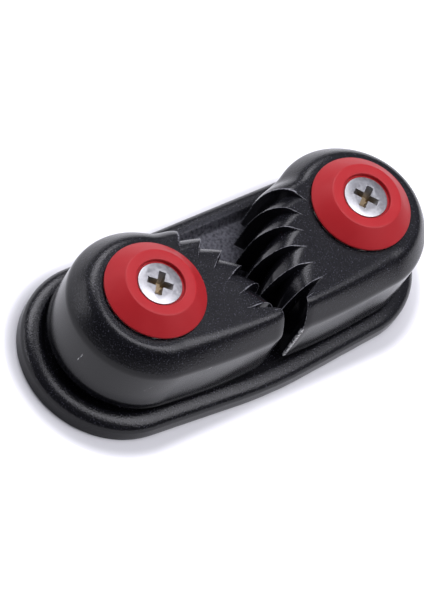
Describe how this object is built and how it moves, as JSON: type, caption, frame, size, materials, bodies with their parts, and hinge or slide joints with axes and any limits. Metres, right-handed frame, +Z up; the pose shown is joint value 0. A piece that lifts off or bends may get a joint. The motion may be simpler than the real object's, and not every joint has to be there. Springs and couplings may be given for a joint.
{
  "type": "cam cleat",
  "caption": "Deck cam cleat: sprung toothed cams on ball bearings pinch a rope over a flat rounded base, with red bearing caps and countersunk fixing screws.",
  "frame": {"origin": "centre of the underside of the base, midway between the two fixing screws", "axes": "+Z up out of the deck, +X from the left pivot to the right pivot, -Y to the front, where the tail of the rope leaves; the loaded rope comes in from +Y"},
  "size_m": [0.0678, 0.0292, 0.0333],
  "materials": {
    "base_black": "satin moulded, fine grain",
    "cam_black": "satin moulded, sparkly fine grain, worn tooth tips",
    "cap_red": "matte moulded",
    "screw_steel": "bright, mottled",
    "ferrule_steel": "turned",
    "spring_steel": "drawn wire",
    "ball_acetal": "smooth",
    "washer_steel": "pressed"
  },
  "bodies": {
    "base": {"base": "base_black", "left_cap": "cap_red", "left_screw": "screw_steel", "left_ferrule": "ferrule_steel", "left_spring": "spring_steel", "left_upper_washer": "washer_steel", "left_lower_washer": "washer_steel", "right_cap": "cap_red", "right_screw": "screw_steel", "right_ferrule": "ferrule_steel", "right_spring": "spring_steel", "right_upper_washer": "washer_steel", "right_lower_washer": "washer_steel"},
    "left_cam": {"left_cam": "cam_black"},
    "left_upper_balls": {"left_upper_balls": "ball_acetal"},
    "left_lower_balls": {"left_lower_balls": "ball_acetal"},
    "right_cam": {"right_cam": "cam_black"},
    "right_upper_balls": {"right_upper_balls": "ball_acetal"},
    "right_lower_balls": {"right_lower_balls": "ball_acetal"}
  },
  "joints": [
    {"name": "left_cam_pivot", "type": "hinge", "parent": "base", "child": "left_cam", "pos_m": [-0.019, 0, 0.0115], "axis": [0, 0, -1], "range_deg": [0, 60], "stiffness_Nm_per_rad": 0.08, "springref_deg": -28.65, "deforming": ["left_spring"]},
    {"name": "left_upper_balls_roll", "type": "hinge", "parent": "base", "child": "left_upper_balls", "pos_m": [-0.019, 0, 0.01685], "axis": [0, 0, -1], "range_deg": [0, 34.1]},
    {"name": "left_lower_balls_roll", "type": "hinge", "parent": "base", "child": "left_lower_balls", "pos_m": [-0.019, 0, 0.0063], "axis": [0, 0, -1], "range_deg": [0, 34.1]},
    {"name": "right_cam_pivot", "type": "hinge", "parent": "base", "child": "right_cam", "pos_m": [0.019, 0, 0.0115], "axis": [0, 0, 1], "range_deg": [0, 60], "stiffness_Nm_per_rad": 0.08, "springref_deg": -28.65, "deforming": ["right_spring"]},
    {"name": "right_upper_balls_roll", "type": "hinge", "parent": "base", "child": "right_upper_balls", "pos_m": [0.019, 0, 0.01685], "axis": [0, 0, 1], "range_deg": [0, 34.1]},
    {"name": "right_lower_balls_roll", "type": "hinge", "parent": "base", "child": "right_lower_balls", "pos_m": [0.019, 0, 0.0063], "axis": [0, 0, 1], "range_deg": [0, 34.1]}
  ],
  "couplings": [
    {"joint": "left_upper_balls_roll", "follows": "left_cam_pivot", "ratio": 0.567},
    {"joint": "left_lower_balls_roll", "follows": "left_cam_pivot", "ratio": 0.567},
    {"joint": "right_upper_balls_roll", "follows": "right_cam_pivot", "ratio": 0.567},
    {"joint": "right_lower_balls_roll", "follows": "right_cam_pivot", "ratio": 0.567}
  ]
}
